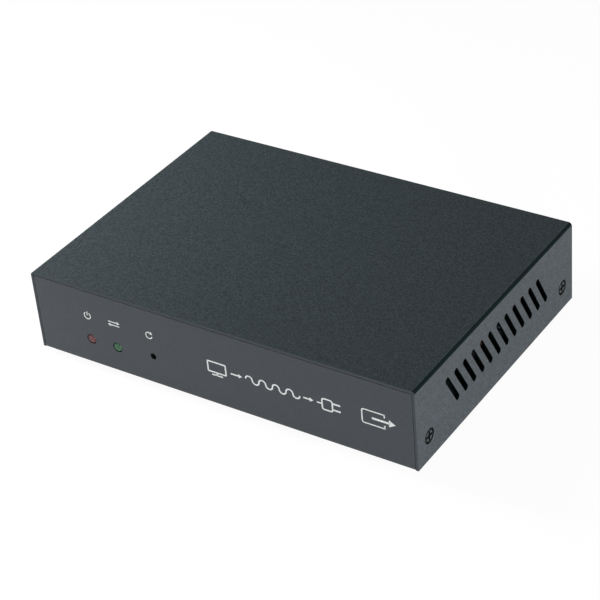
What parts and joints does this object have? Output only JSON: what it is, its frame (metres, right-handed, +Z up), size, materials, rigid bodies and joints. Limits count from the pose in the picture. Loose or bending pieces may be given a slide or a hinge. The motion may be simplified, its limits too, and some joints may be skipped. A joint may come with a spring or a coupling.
{
  "type": "video-over-mains extender",
  "caption": "Flat sheet-metal box with a wrap-over cover, slanted side vents, two lamps and a recessed reset button in front, and a video socket and mains inlet behind.",
  "frame": {"origin": "on the surface that the feet stand on, under the middle of the whole part", "axes": "+X to the right as seen from the front, +Y to the back, +Z up"},
  "size_m": [0.15, 0.109, 0.0332],
  "materials": {
    "textured_paint": "fine textured powder coat, matt",
    "satin_paint": "smooth satin paint",
    "black_steel": "blackened steel",
    "rubber": "matt rubber",
    "zinc_steel": "bright zinc plate",
    "nickel_steel": "nickel plate",
    "tinned_wire": "tin plate",
    "gilt_contact": "thin gold plate",
    "brass": "bright brass",
    "green_laminate": "glass laminate under solder mask",
    "dark_laminate": "glass laminate under dark solder mask",
    "red_lens": "tinted diffuse epoxy",
    "green_lens": "tinted diffuse epoxy",
    "black_nylon": "moulded, matt",
    "white_nylon": "moulded, matt",
    "chip_black": "moulded epoxy",
    "chip_ceramic": "fired ceramic",
    "ferrite": "ground ferrite",
    "copper_wire": "enamelled copper",
    "can_sleeve": "shrunk sleeve",
    "can_metal": "drawn can",
    "bright_aluminium": "extruded, plain",
    "black_anodised": "extruded, black anodised",
    "yellow_tape": "polyester tape",
    "yellow_box": "moulded box",
    "blue_ceramic": "dipped ceramic",
    "fuse_glass": "clear glass",
    "brown_cover": "wire insulation",
    "blue_cover": "wire insulation",
    "earth_cover": "wire insulation",
    "red_cover": "wire insulation"
  },
  "bodies": {
    "case": {"chassis": "satin_paint", "cover": "textured_paint", "cover_screws": "black_steel", "rubber_feet": "rubber", "board_standoffs": "zinc_steel", "board_screws": "zinc_steel", "main_board": "green_laminate", "supply_board": "dark_laminate", "power_lamp": "red_lens", "link_lamp": "green_lens", "lamp_holders": "black_nylon", "reset_switch_body": "black_nylon", "reset_switch_frame": "nickel_steel", "reset_switch_dome": "nickel_steel", "video_socket_shell": "nickel_steel", "video_socket_insulator": "black_nylon", "video_socket_contacts": "gilt_contact", "mains_inlet": "black_nylon", "inlet_blades": "brass", "inlet_screws": "black_steel", "inlet_nuts": "zinc_steel", "live_wire": "brown_cover", "neutral_wire": "blue_cover", "earth_wire": "earth_cover", "wire_sleeves": "white_nylon", "earth_stud": "zinc_steel", "earth_lug": "brass", "earth_nut": "zinc_steel", "fuse_glass": "fuse_glass", "fuse_caps": "nickel_steel", "fuse_clips": "nickel_steel", "filter_capacitor": "yellow_box", "line_choke_core": "ferrite", "line_choke_coils": "copper_wire", "bridge_rectifier": "chip_black", "bulk_capacitor": "can_sleeve", "transformer_core": "ferrite", "transformer_bobbin": "black_nylon", "transformer_winding": "yellow_tape", "switch_heatsink": "black_anodised", "switch_transistor": "chip_black", "heatsink_screw": "zinc_steel", "output_capacitors": "can_sleeve", "isolation_capacitor": "blue_ceramic", "board_headers": "white_nylon", "harness_plugs": "white_nylon", "harness_wires": "red_cover", "processor": "chip_black", "processor_heatsink": "bright_aluminium", "memory_chips": "chip_black", "line_chip": "chip_black", "chip_leads": "tinned_wire", "coupling_transformer": "chip_black", "crystals": "can_metal", "power_coils": "ferrite", "smoothing_capacitors": "can_metal", "chip_parts": "chip_ceramic", "soldered_legs": "tinned_wire"},
    "reset": {"reset_button": "black_nylon"}
  },
  "joints": [
    {"name": "reset_press", "type": "slide", "parent": "case", "child": "reset", "axis": [0, 1, 0], "range_m": [0, 0.00025], "stiffness_N_per_m": 6400}
  ]
}
